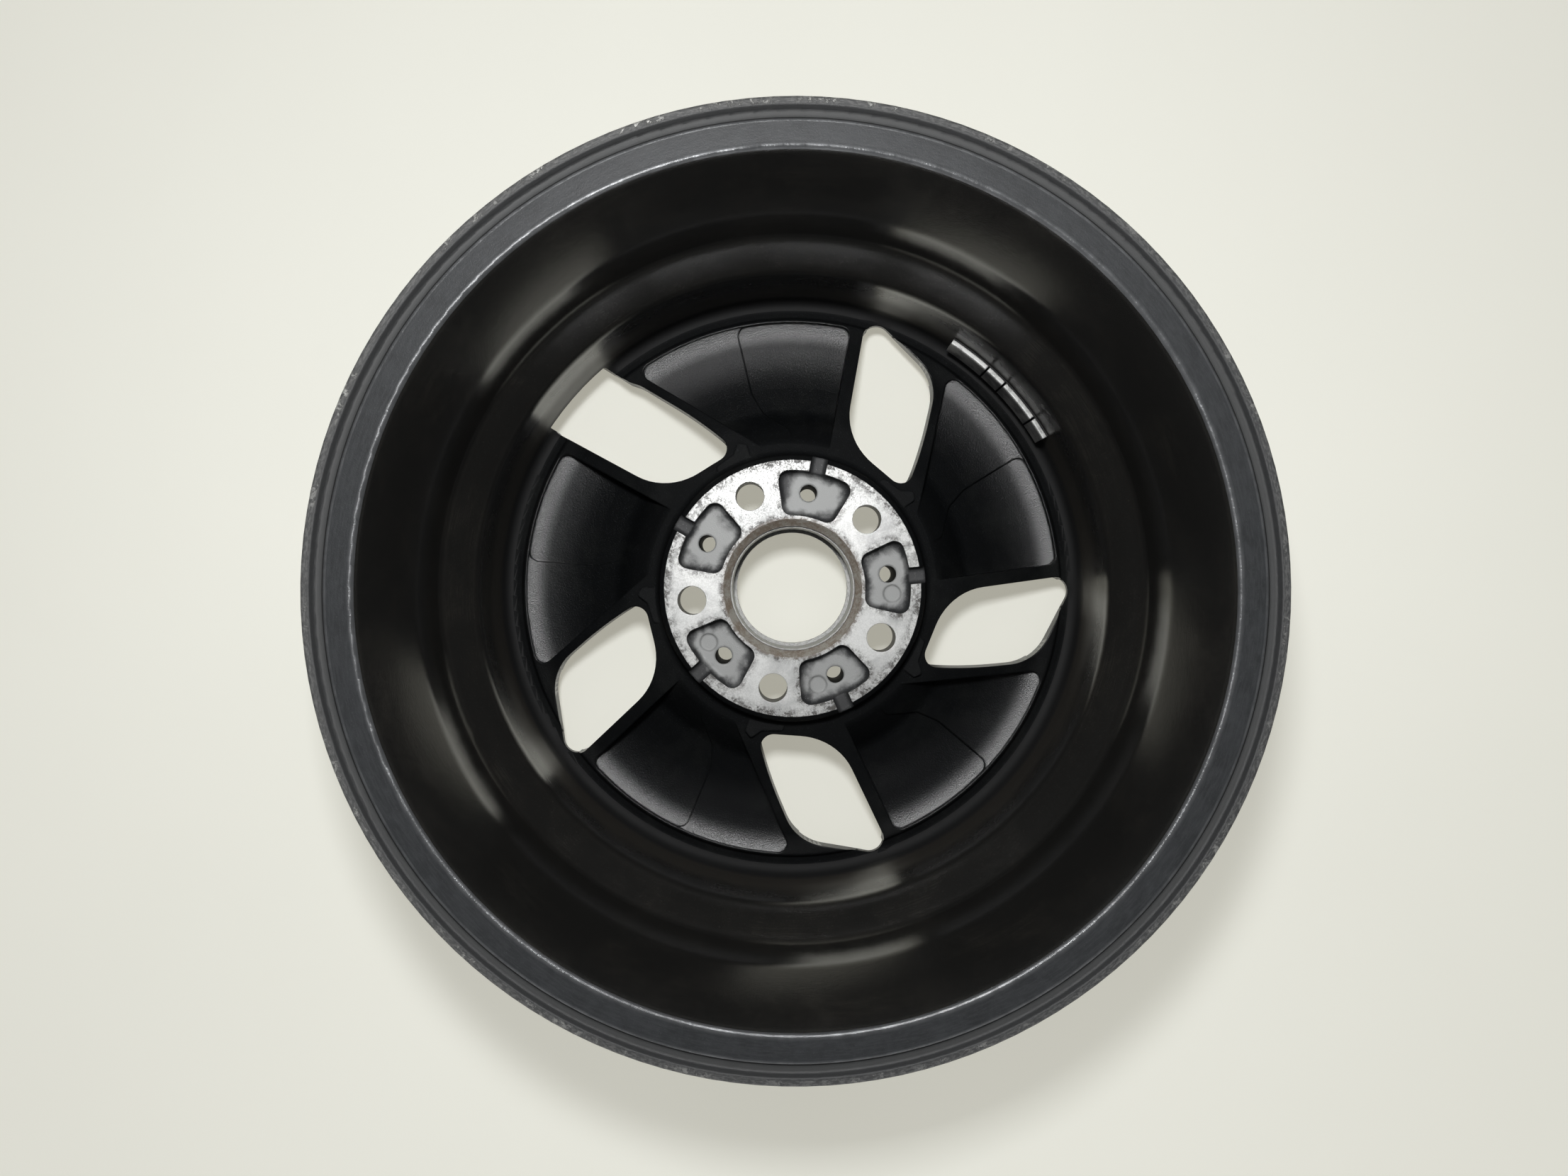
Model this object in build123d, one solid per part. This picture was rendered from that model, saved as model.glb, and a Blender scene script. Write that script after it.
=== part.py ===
"""Cast alloy car wheel, 17 x 8 inch, five holes on 120 mm, with its stick-on balance weights.

Millimetres. The wheel lies on its outboard face with the mounting side up: +Z points inboard along
the wheel's axis, and the origin is the centre of the mounting face. The first bolt hole is on +X.
Plan outlines are drawn beside that hole and repeated every fifth of a turn.
"""
import os
from math import atan2, cos, degrees, hypot, radians, sin, tan

from build123d import *

# Rim standard sizes
bead_seat_d = 436.6
rim_width = 203.2
offset = 34.0
flange_height = 17.3
flange_thickness = 6.4
bead_width = 21.0
bead_taper = 5.0
hump_height = 1.2
hump_width = 7.0
hump_lead = 2.0
lip_edge = 3.2
lip_hook = 6.5

# Barrel, from the inboard mouth to the well behind the spokes
mouth_wall = 7.3
mouth_cone_length = 66.0
leg_length = 38.0
flank_length = 18.0
leg_r = 199.3
leg_draft = 1.8
well_r = 180.2
well_draft = 1.3
barrel_wall = 5.8
well_foot = 31.0
outer_flank = 43.0

# Inboard flange face: flat ring, groove and lip
face_drop = 0.8
face_width = 13.8
groove_width = 6.6
groove_depth = 2.4
groove_wall = 1.5

# Hub
pad_d = 152.6
pad_height = 14.0
pad_shoulder = 2.6
pad_foot = 4.5
bore_d = 72.6
bore_chamfer = 4.7
bore_groove = 0.7
bore_groove_in = 0.5
bore_groove_out = 2.0
cap_hole_d = 68.6
cap_lip = 5.0
cap_recess_d = 73.6
cap_recess_depth = 3.5
cap_rim_width = 12.0
hub_front = 45.0
bolt_count = 5
bolt_circle_d = 120.0
bolt_hole_d = 17.0
bolt_well_d = 28.0
bolt_seat_d = 25.0
bolt_seat_angle = 60.0
bolt_seat_height = 20.0

# Pockets in the mounting pad, each with a drain hole and an outlet
pad_pocket_span = 39.0
pad_pocket_depth = 8.0
pad_pocket_inner_land = 2.2
pad_pocket_outer_land = 6.3
pad_pocket_turn = -36.9
pad_pocket_round = 6.0
pad_pocket_foot = 3.5
drain_d = 10.0
drain_turn = -34.5
outlet_width = 9.9
outlet_depth = 6.0
outlet_foot = 3.0
ejector_d = 10.3
ejector_turn = -46.0
ejector_depth = 0.6
ejector_pockets = (2, 3, 4)

# Spoke disc
back_slope = 18.7
shoulder_round = 5.0
rib_nose_r = 168.2
rib_nose_run = 1.6
shoulder_drop = 3.5
front_rim_r = 207.0
front_rise = 11.0
front_knee_r = 165.0
front_knee_rise = 11.5
front_hub_r = 84.0
front_hub_rise = 1.0
front_land = 6.0
front_land_rise = 1.5
lip_out_width = 8.0

# Window outline beside a bolt hole: heel, side, shoulder, tip and toe
window_heel = (90.2, -4.4)
window_side = (119.0, 9.5)
window_reach = 155.4
window_shoulder_y = 33.4
window_tip = (154.2, 95.8)
window_toe = (84.3, 44.3)
heel_round = 8.0
side_round = 260.0
shoulder_corner_round = 30.0
tip_round = 9.0
toe_round = 38.0

# Pockets in the back of each spoke: a shallow bay beside the window and a deep bay beyond the step
bay_inner_r = 89.0
bay_ramp = 19.0
bay_ramp_lead = 5.5
bay_ramp_round = 12.0
bay_shoulder = 13.7
bay_end_slope = 15.5
bay_end_step = 0.3
shallow_rise = 2.5
window_rib = 5.5
blade_rib = 8.0
step_outer_turn = -12.5
step_inner_turn = -13.2
step_inner_r = 124.0
step_knee_turn = -15.6
step_knee_r = 110.0
step_end_turn = -24.4
step_end_r = 96.5
bay_round = 6.0
bay_bowl_r = 70.0
bay_foot = 4.0
front_step = 5.0
front_step_inner_r = 90.0
front_step_outer_r = 175.0
front_step_run = 6.0
front_step_side = 45.0
step_reach = 40.0
bay_far = (320.0, -20.0)

# Small level land between the hub and each window's heel
heel_land_drop = 0.6
heel_land_foot = 16.0
heel_land_near = (78.0, 11.5)
heel_land_edge = (85.6, 11.0)
heel_land_waist = (88.0, -1.5)
heel_land_nose = (93.6, -7.2)
heel_land_heel = (90.2, -11.4)
heel_land_back = (79.0, -10.0)
heel_land_round = 1.8

# Front hollow at the outer end of each window, and the web that it leaves
hollow_wall = 5.7
hollow_roof_inner = 50.0
hollow_roof_knee_r = 171.0
hollow_roof_knee = 54.0
hollow_roof_outer = 46.0
hollow_round = 5.0
hollow_lead = 8.0
hollow_far = 60.0
hollow_side_gap = 2.0
hollow_toe_gap = 1.0

# Valve place: the first window runs on to the well
valve_turn = 24.5
valve_hole_d = 11.4
valve_seat_d = 21.0
valve_wall = 5.0
valve_roof = 38.0
valve_roof_r = 198.0
valve_roof_edge = 47.0
valve_window_bend = (154.0, 32.5)
valve_window_end = (178.0, 57.0)
valve_bend_round = 24.0
valve_corner_round = 8.0
valve_tip_round = 4.0

# Balance weights on the well
weight_thickness = 3.3
weight_width = 19.6
weight_edge = 1.2
tape_thickness = 0.6
seat_gap = 0.3
weight_rise = 10.7
weights_start = -57.9
weight_gap = 1.3
weight_lengths = (26.7, 12.6, 26.1, 13.2)
long_weight = 20.0

# Levels worked out from the sizes above
pitch = 360.0 / bolt_count
bead_r = bead_seat_d / 2
flange_r = bead_r + flange_height
seat_in = offset + rim_width / 2
seat_out = offset - rim_width / 2
lip_in = seat_in + flange_thickness
lip_out = seat_out - flange_thickness
face_z = lip_in - face_drop
mouth_r = bead_r - mouth_wall
pad_r = pad_d / 2
bore_r = bore_d / 2
bolt_r = bolt_circle_d / 2
chamfer_r = bore_r + bore_chamfer
through = 400.0
clear = 5.0


def in_section(u, v):
    """A point of a turned section: u is the radius, v the height."""
    return Vector(u, 0, v)


def in_plan(u, v):
    """A point of a plan outline."""
    return Vector(u, v, 0)


def polar(radius, turn):
    """Plan point at a radius and an angle in degrees."""
    return radius * cos(radians(turn)), radius * sin(radians(turn))


def rounded_face(corners, place):
    """Closed face through corners (u, v, radius), each corner rounded by its radius."""
    edges = []
    joints = []
    for index, (u, v, radius) in enumerate(corners):
        last = corners[index - 1]
        following = corners[(index + 1) % len(corners)]
        back = Vector(last[0] - u, last[1] - v).normalized()
        ahead = Vector(following[0] - u, following[1] - v).normalized()
        half = radians(back.get_angle(ahead)) / 2
        reach = radius / tan(half)
        corner = Vector(u, v)
        middle = corner + (back + ahead).normalized() * (radius / sin(half) - radius)
        joints.append((corner + back * reach, middle, corner + ahead * reach, radius))
    for index, (start, middle, end, radius) in enumerate(joints):
        if radius > 0:
            edges.append(ThreePointArc(*(place(point.X, point.Y) for point in (start, middle, end))))
        following = joints[(index + 1) % len(joints)][0]
        edges.append(Line(place(end.X, end.Y), place(following.X, following.Y)))
    return Face(Wire(edges))


def turned(corners):
    """Solid turned about the wheel's axis from section corners."""
    return revolve(rounded_face(corners, in_section), Axis.Z)


def prism(face, low, high):
    """A plan face made into an upright solid between two heights."""
    return extrude(Pos(0, 0, low) * face, high - low, dir=(0, 0, 1))


def offset_corner(before, corner, after, distance):
    """The corner moved out to where both neighbouring sides lie a distance further from the axis."""
    normals = []
    for first, second in ((before, corner), (corner, after)):
        run = Vector(second[0] - first[0], second[1] - first[1]).normalized()
        normals.append(Vector(-run.Y, run.X))
    middle = (normals[0] + normals[1]).normalized()
    stretch = distance / middle.dot(normals[0])
    return corner[0] + middle.X * stretch, corner[1] + middle.Y * stretch


def repeated(shape, places=range(bolt_count)):
    """Copies of a shape turned to its place beside each bolt hole."""
    return [Rot(0, 0, pitch * place) * shape for place in places]


# Barrel corners on the inside, from the mouth to the well's outboard end
cone_end = lip_in - mouth_cone_length
leg_end = cone_end - leg_length
flank_end = leg_end - flank_length
leg_end_r = leg_r - leg_length * tan(radians(leg_draft))


def well_radius(height):
    """Inner radius of the well at a height."""
    return well_r + (height - seat_out - well_foot) * tan(radians(well_draft))


def back_height(radius):
    """Height of the spokes' back at a radius."""
    return -pad_height - (radius - pad_r - pad_foot) * tan(radians(back_slope))


inside = [
    (mouth_r, face_z),
    (leg_r, cone_end),
    (leg_end_r, leg_end),
    (well_radius(flank_end), flank_end),
    (well_radius(back_height(well_r) - shoulder_drop), back_height(well_r) - shoulder_drop),
]
outside = [offset_corner(*inside[i - 1 : i + 2], barrel_wall) for i in (1, 2, 3)]

seat_toe_r = bead_r - bead_width * tan(radians(bead_taper))
hump_r = seat_toe_r + hump_height
hump_in = seat_in - bead_width - hump_width
hump_out = seat_out + bead_width + hump_width
cone_rate = (mouth_r - leg_r) / (face_z - cone_end)
ledge_z = hump_in - hump_width
hump_flank_r = hump_r - 4.0
hump_flank_z = hump_out - 1.0
ledge_r = outside[0][0] + (ledge_z - outside[0][1]) * cone_rate
well_outer_r = well_radius(seat_out + outer_flank) + barrel_wall
front_z = lip_out + front_rise
knee_z = lip_out + front_knee_rise

# Turned section of the whole casting, from the bore's chamfer outwards over the back
section = [
    (chamfer_r, 0, 0),
    (pad_r, 0, 0.6),
    (pad_r + pad_shoulder, -pad_shoulder, 0.8),
    (pad_r + pad_foot, -pad_height, 5.0),
    (rib_nose_r, back_height(rib_nose_r), 1.5),
    (rib_nose_r + rib_nose_run, back_height(rib_nose_r + rib_nose_run) - shoulder_drop, 1.5),
    (*inside[4], shoulder_round),
    (*inside[3], 9.0),
    (*inside[2], 9.0),
    (*inside[1], 30.0),
    (*inside[0], 1.8),
    (mouth_r + face_width, face_z, 0.6),
    (mouth_r + face_width + groove_wall, face_z - groove_depth, 1.5),
    (mouth_r + face_width + groove_width - groove_wall, face_z - groove_depth, 1.5),
    (mouth_r + face_width + groove_width, lip_in, 0.8),
    (flange_r, lip_in, 1.3),
    (flange_r, lip_in - lip_edge, 1.0),
    (flange_r - lip_hook, seat_in, 5.0),
    (bead_r, seat_in, 6.5),
    (seat_toe_r, seat_in - bead_width, 1.0),
    (hump_r, seat_in - bead_width - hump_lead, 1.5),
    (hump_r, hump_in, 3.0),
    (ledge_r, ledge_z, 5.0),
    (*outside[0], 20.0),
    (*outside[1], 7.0),
    (*outside[2], 9.0),
    (well_outer_r, seat_out + outer_flank, 12.0),
    (hump_flank_r, hump_flank_z, 4.0),
    (hump_r, hump_flank_z - 3.0, 1.5),
    (hump_r, seat_out + bead_width + hump_lead, 1.0),
    (seat_toe_r, seat_out + bead_width, 0.6),
    (bead_r, seat_out, 6.5),
    (flange_r - lip_hook, seat_out, 5.0),
    (flange_r, lip_out + lip_edge, 1.0),
    (flange_r, lip_out, 1.6),
    (flange_r - lip_out_width, lip_out, 4.0),
    (front_rim_r + front_land, lip_out + front_land_rise, 3.0),
    (front_rim_r, front_z, 4.0),
    (front_knee_r, knee_z, 60.0),
    (front_hub_r, -hub_front - front_hub_rise, 30.0),
    (cap_recess_d / 2 + cap_rim_width, -hub_front, 4.0),
    (cap_recess_d / 2, -hub_front, 0.5),
    (cap_recess_d / 2, -hub_front + cap_recess_depth, 0),
    (cap_hole_d / 2, -hub_front + cap_recess_depth, 0),
    (cap_hole_d / 2, -hub_front + cap_recess_depth + cap_lip, 0),
    (bore_r, -hub_front + cap_recess_depth + cap_lip, 0),
    (bore_r, -bore_chamfer - bore_groove_out, 0),
    (bore_r + bore_groove, -bore_chamfer - bore_groove_out, 0),
    (bore_r + bore_groove, -bore_chamfer + bore_groove_in, 0),
    (chamfer_r - bore_chamfer + bore_groove + 0.4, -bore_chamfer + bore_groove_in, 0),
]
blank = turned(section)

# Small level land between the hub and each window's heel
land_corners = (
    heel_land_near,
    heel_land_back,
    heel_land_heel,
    heel_land_nose,
    heel_land_waist,
    heel_land_edge,
)
land_face = rounded_face([(*corner, heel_land_round) for corner in land_corners], in_plan)
heel_land = prism(land_face, -pad_height - heel_land_foot, -pad_height - heel_land_drop)
blank = blank.fuse(*repeated(heel_land))

# Bolt holes: through hole, conical seat and a well from the front
seat_rise = (bolt_seat_d - bolt_hole_d) / 2 / tan(radians(bolt_seat_angle / 2))
bolt_hole = turned([
    (0, clear, 0),
    (bolt_hole_d / 2, clear, 0),
    (bolt_hole_d / 2, -bolt_seat_height, 0),
    (bolt_seat_d / 2, -bolt_seat_height - seat_rise, 0),
    (bolt_well_d / 2, -bolt_seat_height - seat_rise, 0),
    (bolt_well_d / 2, lip_out, 0),
    (0, lip_out, 0),
])
bolt_holes = repeated(Pos(bolt_r, 0, 0) * bolt_hole)

# Pad pockets: a ring sector with round corners, a drain hole and an outlet through the pad's edge
pocket_inner_r = chamfer_r + pad_pocket_inner_land
pocket_outer_r = pad_r - pad_pocket_outer_land
pocket_mid_r = (pocket_inner_r + pocket_outer_r) / 2


def sector(inner, outer, first, last):
    """Plan face between two radii and two angles."""
    ring = Circle(outer) - Circle(inner)
    far = outer * 2
    wedge = Polygon((0, 0), polar(far, first), polar(far, (first + last) / 2), polar(far, last), align=None)
    return ring & wedge


pocket_first = pad_pocket_turn - pad_pocket_span / 2
pocket_last = pad_pocket_turn + pad_pocket_span / 2
pocket_face = sector(pocket_inner_r, pocket_outer_r, pocket_first, pocket_last)
pocket_face = fillet(pocket_face.vertices(), pad_pocket_round)
pad_pocket = prism(pocket_face, -pad_pocket_depth, clear)
pad_pocket = fillet(pad_pocket.edges().group_by(Axis.Z)[0], pad_pocket_foot)
pad_pockets = repeated(pad_pocket)
drain = Pos(*polar(pocket_mid_r + 1.0, drain_turn), 0) * Cylinder(drain_d / 2, through)
drains = repeated(drain)
outlet_length = pad_r + clear - pocket_mid_r
outlet = Pos(pocket_mid_r + outlet_length / 2, 0, 0) * Box(outlet_length, outlet_width, 2 * outlet_depth)
outlet_feet = outlet.edges().filter_by(Axis.X).group_by(Axis.Z)[0]
outlets = repeated(Rot(0, 0, pad_pocket_turn) * fillet(outlet_feet, outlet_foot))
ejector = Cylinder(ejector_d / 2, 2 * ejector_depth)
ejector_place = Pos(*polar(pocket_mid_r + 3.0, ejector_turn), -pad_pocket_depth)
ejectors = repeated(ejector_place * ejector, ejector_pockets)

# Windows between the spokes
window_corners = [
    (*window_heel, heel_round),
    (*window_side, side_round),
    (window_reach, window_shoulder_y, shoulder_corner_round),
    (*window_tip, tip_round),
    (*window_toe, toe_round),
]
window_face = rounded_face(window_corners, in_plan)
windows = repeated(prism(window_face, -through / 2, through / 2), range(1, bolt_count))
toe_run = (window_tip[1] - window_toe[1]) / (window_tip[0] - window_toe[0])
side_run = (window_shoulder_y - window_side[1]) / (window_reach - window_side[0])
valve_window_corners = [
    (*window_heel, heel_round),
    (*window_side, side_round),
    (*valve_window_bend, valve_bend_round),
    (*valve_window_end, 0),
    (window_tip[0] + hollow_far, window_tip[1] + hollow_far * toe_run, 0),
    (*window_toe, toe_round),
]
valve_window = Circle(well_r) & rounded_face(valve_window_corners, in_plan)
valve_ends = valve_window.vertices().sort_by(lambda vertex: -hypot(vertex.X, vertex.Y))[:2].sort_by(Axis.Y)
valve_window = fillet(valve_ends[:1], valve_corner_round)
valve_window = fillet(valve_window.vertices().sort_by(Axis.Y)[-1:], valve_tip_round)


def beside(start, end, gap):
    """Line through two plan points moved sideways, given as two points well past both ends."""
    run = Vector(end[0] - start[0], end[1] - start[1]).normalized()
    side = Vector(run.Y, -run.X) * gap
    near = Vector(*start) + side - run * 80.0
    far = Vector(*end) + side + run * 120.0
    return (near.X, near.Y), (far.X, far.Y)


def turned_point(point, turn):
    """A plan point turned about the axis."""
    return polar(hypot(*point), degrees(atan2(point[1], point[0])) + turn)


# Bays in the spoke's back, between this window's side and the toe side of the window before it
bay_outer_r = well_r - bay_shoulder
bay_start_r = bay_inner_r - bay_ramp_lead
shoulder = (window_reach, window_shoulder_y)
rib_near, rib_far = beside(window_side, shoulder, window_rib)
blade_far, blade_near = beside(turned_point(window_tip, -pitch), turned_point(window_toe, -pitch), blade_rib)
bay_ring = Circle(bay_outer_r) - Circle(bay_start_r)
bay_plan = bay_ring & Polygon(rib_near, rib_far, polar(*bay_far), blade_far, blade_near, align=None)
step_outer = polar(bay_outer_r + step_reach, step_outer_turn)
step_inner = polar(step_inner_r, step_inner_turn)
step_knee = polar(step_knee_r, step_knee_turn)
step_end = polar(step_end_r, step_end_turn)
blade_side = Polygon(step_outer, step_inner, step_knee, step_end, blade_near, blade_far, align=None)


def outer_corners(plan):
    """Corners of a bay's plan beyond the ramp."""
    return [vertex for vertex in plan.vertices() if hypot(vertex.X, vertex.Y) > bay_inner_r + bay_ramp / 3]


deep_plan = bay_plan & blade_side
deep_plan = fillet(outer_corners(deep_plan), bay_round)
whole_plan = fillet(outer_corners(bay_plan), bay_round)


def bay_floor(rise):
    """Turned cutter for a bay's floor: a soft ramp from the hub, a slope, and a bowl that ends at the shoulder."""
    back_run = tan(radians(back_slope))
    end_run = tan(radians(bay_end_slope))
    end = back_height(bay_outer_r) - shoulder_drop - bay_end_step + rise
    tangent = bay_bowl_r * tan(radians(back_slope + bay_end_slope) / 2)
    bowl_r = bay_outer_r - tangent * cos(radians(bay_end_slope))
    bowl = end - (bay_outer_r - bowl_r) * end_run
    ramp_r = bay_inner_r + bay_ramp
    return turned([
        (bay_start_r, clear, 0),
        (bay_start_r, back_height(bay_start_r) + 0.3, 0),
        (bay_inner_r, back_height(bay_inner_r), bay_ramp_round),
        (ramp_r, bowl + (bowl_r - ramp_r) * back_run, bay_ramp_round),
        (bowl_r, bowl, bay_bowl_r),
        (bay_outer_r + clear, end + clear * end_run, 0),
        (bay_outer_r + clear, clear, 0),
    ])


bays = repeated(prism(whole_plan, -through / 2, clear) & bay_floor(shallow_rise))
bays += repeated(prism(deep_plan, -through / 2, clear) & bay_floor(0.0))

# Front: the half of each spoke beside the window lies a step behind the blade
front_slope = (knee_z + hub_front + front_hub_rise) / (front_knee_r - front_hub_r)


def front_height(radius):
    """Height of the spokes' front at a radius."""
    return knee_z + (radius - front_knee_r) * front_slope


front_side = Polygon(
    step_outer,
    step_inner,
    step_knee,
    step_end,
    polar(bay_inner_r - 16.0, 0.0),
    (window_side[0], (window_side[1] + window_shoulder_y) / 2),
    (window_reach + step_reach, window_shoulder_y + front_step_side),
    align=None,
)
front_step_start = front_step_inner_r + front_step_run
front_floor = turned([
    (front_step_inner_r, lip_out, 0),
    (front_step_start, front_height(front_step_start) + front_step, 10.0),
    (front_knee_r, knee_z + front_step, 20.0),
    (front_step_outer_r, knee_z + front_step, 5.0),
    (front_step_outer_r + front_step_run, lip_out, 0),
])
front_steps = repeated(prism(front_side, -through / 2, 0) & front_floor)

# Front hollow outside each window, bounded by the window's own sides run on to the rim
hollow_outer_r = hump_flank_r - hollow_wall
hollow_plan = Circle(hollow_outer_r) & Polygon(
    (window_reach - hollow_lead, window_shoulder_y - hollow_lead * side_run + hollow_side_gap),
    (window_reach + hollow_far, window_shoulder_y + hollow_far * side_run + hollow_side_gap),
    (window_tip[0] + hollow_far, window_tip[1] + hollow_far * toe_run - hollow_toe_gap),
    (window_tip[0] - hollow_lead, window_tip[1] - hollow_lead * toe_run - hollow_toe_gap),
    align=None,
)
hollow_plan = fillet(hollow_plan.vertices(), hollow_round)


def below_roof(inner, knee_r, knee, edge):
    """Turned cutter under a roof that runs from the window over a knee to the hollow's outer wall."""
    return turned([
        (window_reach - 2 * hollow_lead, -inner, 0),
        (knee_r, -knee, 15.0),
        (hollow_outer_r + clear, -edge, 0),
        (hollow_outer_r + clear, -through / 2, 0),
        (window_reach - 2 * hollow_lead, -through / 2, 0),
    ])


hollow_prism = prism(hollow_plan, -through / 2, 0)
hollow_roof = below_roof(hollow_roof_inner, hollow_roof_knee_r, hollow_roof_knee, hollow_roof_outer)
hollows = repeated(hollow_prism & hollow_roof)
valve_hollow = hollow_prism & below_roof(valve_roof, valve_roof_r, valve_roof, valve_roof_edge)

# Valve place: the first window is cut away to the well, and the hole goes through the flank
valve_cut = prism(valve_window, -through / 2, clear)
flank_low = Vector(hump_flank_r, 0, hump_flank_z)
flank_high = Vector(well_outer_r, 0, seat_out + outer_flank)
flank_middle = (flank_low + flank_high) * 0.5
flank_run = (flank_low - flank_high).normalized()
flank_normal = Vector(flank_run.Z, 0, -flank_run.X)
valve_plane = Plane(origin=flank_middle, x_dir=(0, 1, 0), z_dir=flank_normal)
valve_hole = valve_plane * Cylinder(valve_hole_d / 2, 12 * valve_wall)
valve_seat_place = valve_plane * Pos(0, 0, 5 * valve_wall)
valve_seat = valve_seat_place * Cylinder(valve_seat_d / 2, 8 * valve_wall)
valve_cuts = [valve_cut, valve_hollow, Rot(0, 0, valve_turn) * valve_hole, Rot(0, 0, valve_turn) * valve_seat]

casting = blank.cut(
    *bolt_holes,
    *pad_pockets,
    *drains,
    *outlets,
    *ejectors,
    *windows,
    *bays,
    *front_steps,
    *hollows,
    *valve_cuts,
)

# Balance weights: four bent blocks on one strip of foam tape, seated on the well
wall_slope = tan(radians(well_draft))
weights_outboard_z = back_height(well_r) + weight_rise
weights_inboard_z = weights_outboard_z + weight_width


def on_well(inner, outer, start, length, edge):
    """Block on the well between two heights above its wall, along a length from a start angle."""
    corners = [
        (well_radius(weights_inboard_z) - outer, weights_inboard_z, 0),
        (well_radius(weights_inboard_z) - inner, weights_inboard_z, edge),
        (well_radius(weights_outboard_z) - inner, weights_outboard_z, edge),
        (well_radius(weights_outboard_z) - outer, weights_outboard_z, 0),
    ]
    section_face = rounded_face(corners, in_section)
    turn = degrees(length / well_r)
    return Rot(0, 0, start - turn) * revolve(section_face, Axis.Z, turn)


os.makedirs("parts", exist_ok=True)
export_step(casting, "parts/wheel_casting.step")
start = weights_start
weight_seat = 2 * seat_gap + tape_thickness
for number, length in enumerate(weight_lengths, 1):
    kind = "long" if length > long_weight else "short"
    weight = on_well(weight_seat + weight_thickness, weight_seat, start, length, weight_edge)
    export_step(weight, f"parts/balance_weight_{kind}_{number}.step")
    start -= degrees((length + weight_gap) / well_r)
strip_length = sum(weight_lengths) + weight_gap * (len(weight_lengths) - 1)
tape = on_well(seat_gap + tape_thickness, seat_gap, weights_start, strip_length, 0)
export_step(tape, "parts/weight_tape.step")
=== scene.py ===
from collections import namedtuple
from math import cos, pi, radians, sin

import bmesh
import bpy
from mathutils import Matrix, Vector


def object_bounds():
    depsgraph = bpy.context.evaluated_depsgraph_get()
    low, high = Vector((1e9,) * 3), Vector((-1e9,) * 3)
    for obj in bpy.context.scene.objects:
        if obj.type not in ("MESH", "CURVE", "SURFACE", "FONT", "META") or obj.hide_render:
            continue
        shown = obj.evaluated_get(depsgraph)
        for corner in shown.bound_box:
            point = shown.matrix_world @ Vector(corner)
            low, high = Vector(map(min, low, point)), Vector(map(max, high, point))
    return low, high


bl_info = {
    "name": "Cast alloy wheel",
    "version": (1, 0, 0),
    "blender": (4, 5, 0),
    "location": "3D View > Sidebar > Wheel",
    "description": "Finishes, wear and stage of a cast car wheel that lies with its mounting side up",
    "category": "Object",
}

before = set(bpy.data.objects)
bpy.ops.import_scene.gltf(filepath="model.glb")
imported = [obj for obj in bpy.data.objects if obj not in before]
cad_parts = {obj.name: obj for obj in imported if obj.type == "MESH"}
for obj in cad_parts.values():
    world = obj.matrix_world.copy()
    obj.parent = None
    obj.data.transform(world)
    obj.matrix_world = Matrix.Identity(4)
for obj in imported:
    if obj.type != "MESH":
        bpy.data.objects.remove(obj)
cad_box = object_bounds()

# The wheel's sizes in metres: radii about the Z axis and heights along it
BOLT_COUNT = 5
BOLT_CIRCLE_R = 0.060
BOLT_HOLE_R = 0.0085
BORE_R = 0.0363
CHAMFER_R = 0.0410
PAD_R = 0.0763
SHOULDER_R = 0.1700
MOUTH_R = 0.2110
FACE_OUT_R = 0.2248
GROOVE_OUT_R = 0.2314
LIP_R = 0.2356
FACE_Z = 0.1412
WELL_TOP_Z = 0.020
WELL_FOOT_Z = -0.0500
FLOOR_Z = cad_box[0].z

# The mounting pad's pockets: middle radius, half sizes, turn, and how square their corners are
POCKET_MIDDLE_R = 0.0566
POCKET_HALF_WIDTH = 0.0134
POCKET_HALF_LENGTH = 0.0190
POCKET_TURN = radians(-36.9)
POCKET_SQUARENESS = 4.0

# Where one finish of the casting ends and the next begins
SLACK = 0.0003
PAD_TOP_Z = -0.0001
PAD_OUT_R = PAD_R + 0.0010
PAD_EDGE_R = PAD_R - 0.0027
POCKET_FLOOR_Z = -0.0090
DISC_TOP_Z = -0.0081
DISC_FLOOR_Z = -0.0084
CHAMFER_FOOT_Z = -0.0046
BORE_EDGE_R = BORE_R + 0.0012
BORE_FOOT_Z = -0.050
BOLT_WELL_R = BOLT_HOLE_R + 0.0055
BOLT_WELL_Z = -0.044
HUB_DULL_R = 0.0920
OUTSIDE_R = 0.184
HOLLOW_R = 0.150
HOLLOW_TOP_Z = -0.0455
LIP_IN_R = GROOVE_OUT_R - 0.002
LIP_FOOT_Z = FACE_Z - 0.007
FACE_IN_R = MOUTH_R - 0.0004
FACE_FOOT_Z = FACE_Z - 0.004
SHADE_LINE_HALF_WIDTH = 0.00045

# Limits to a face's direction there: its share along +Z (up) or away from the axis (out)
PAD_UP = 0.9995
FACE_UP = 0.2
PAD_EDGE_OUT = 0.15
BARREL_OUT = 0.03
BARREL_UP = -0.2
HOLLOW_UP = 0.02
FRONT_UP = -0.35

# Fixed colours, linear and with full cover
PAINT_GRAINS = (0.030, 0.034, 0.038, 1.0)
OUTSIDE_CLEAN = (0.0120, 0.0125, 0.0130, 1.0)
OUTSIDE_DUSTY = (0.026, 0.025, 0.023, 1.0)
WELL_FOOT_SHADE = (0.0050, 0.0052, 0.0054, 1.0)
FLANGE_DARK = (0.017, 0.0185, 0.020, 1.0)
FLANGE_PALE = (0.030, 0.0325, 0.035, 1.0)
FLANGE_GRAINS = (0.075, 0.078, 0.080, 1.0)
FLANGE_STREAKS = (0.045, 0.047, 0.05, 1.0)
GROOVE_GREY = (0.080, 0.081, 0.080, 1.0)
GROOVE_SHADE_BLACK = (0.010, 0.010, 0.010, 1.0)
RUBBED_METAL_HIGHLIGHT = (0.20, 0.205, 0.21, 1.0)
LIP_DARK = (0.026, 0.027, 0.028, 1.0)
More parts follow.
